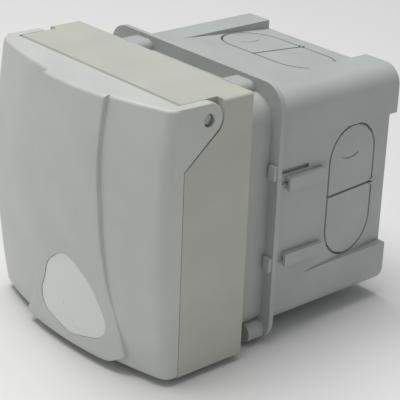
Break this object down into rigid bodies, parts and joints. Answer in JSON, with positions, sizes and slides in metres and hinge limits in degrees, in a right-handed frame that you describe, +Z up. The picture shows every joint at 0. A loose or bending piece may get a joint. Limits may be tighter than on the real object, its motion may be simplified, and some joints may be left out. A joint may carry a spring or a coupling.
{
  "type": "three-phase flush socket",
  "caption": "Flush-mounted three-phase socket: square frame with a sprung, curved hinged lid over a five-contact insert, on a deep flush box with knock-outs and coupling rails",
  "frame": {"origin": "middle of the frame's back face, in the plane of the wall's surface", "axes": "+Z up, +Y into the wall, +X to the right as seen from the front"},
  "size_m": [0.1, 0.1272, 0.1021],
  "materials": {
    "lid_plastic": "light grey moulded plastic, satin",
    "frame_plastic": "pale warm grey moulded plastic, satin",
    "box_plastic": "light grey moulded plastic, satin",
    "label_foil": "blank silver-grey foil",
    "insulator": "dark grey moulded insulator",
    "seal_rubber": "black soft rubber",
    "brass": "machined brass",
    "steel": "zinc-plated steel"
  },
  "bodies": {
    "base": {"front_frame": "frame_plastic", "frame_seal": "seal_rubber", "flush_box": "box_plastic", "hinge_pin": "steel", "lid_spring": "steel", "shroud": "frame_plastic", "shroud_floor": "frame_plastic", "contact_carrier": "insulator", "carrier_back": "insulator", "contact_earth": "brass", "contact_neutral": "brass", "contact_l1": "brass", "contact_l2": "brass", "contact_l3": "brass", "spring_ring_earth": "steel", "spring_ring_neutral": "steel", "spring_ring_l1": "steel", "spring_ring_l2": "steel", "spring_ring_l3": "steel", "terminal_screw_earth": "steel", "terminal_screw_neutral": "steel", "terminal_screw_l1": "steel", "terminal_screw_l2": "steel", "terminal_screw_l3": "steel", "frame_screw_1": "steel", "frame_screw_2": "steel", "frame_screw_3": "steel", "frame_screw_4": "steel", "threaded_insert_1": "brass", "threaded_insert_2": "brass", "threaded_insert_3": "brass", "threaded_insert_4": "brass", "carrier_screw_1": "steel", "carrier_screw_2": "steel", "carrier_screw_3": "steel"},
    "lid": {"lid": "lid_plastic", "label_plate": "label_foil", "lid_seal": "seal_rubber"}
  },
  "joints": [
    {"name": "lid_hinge", "type": "hinge", "parent": "base", "child": "lid", "pos_m": [0, -0.0193, 0.044], "axis": [-1, 0, 0], "range_deg": [0, 90], "stiffness_Nm_per_rad": 0.06, "springref_deg": -34.38, "deforming": ["lid_spring"]}
  ]
}
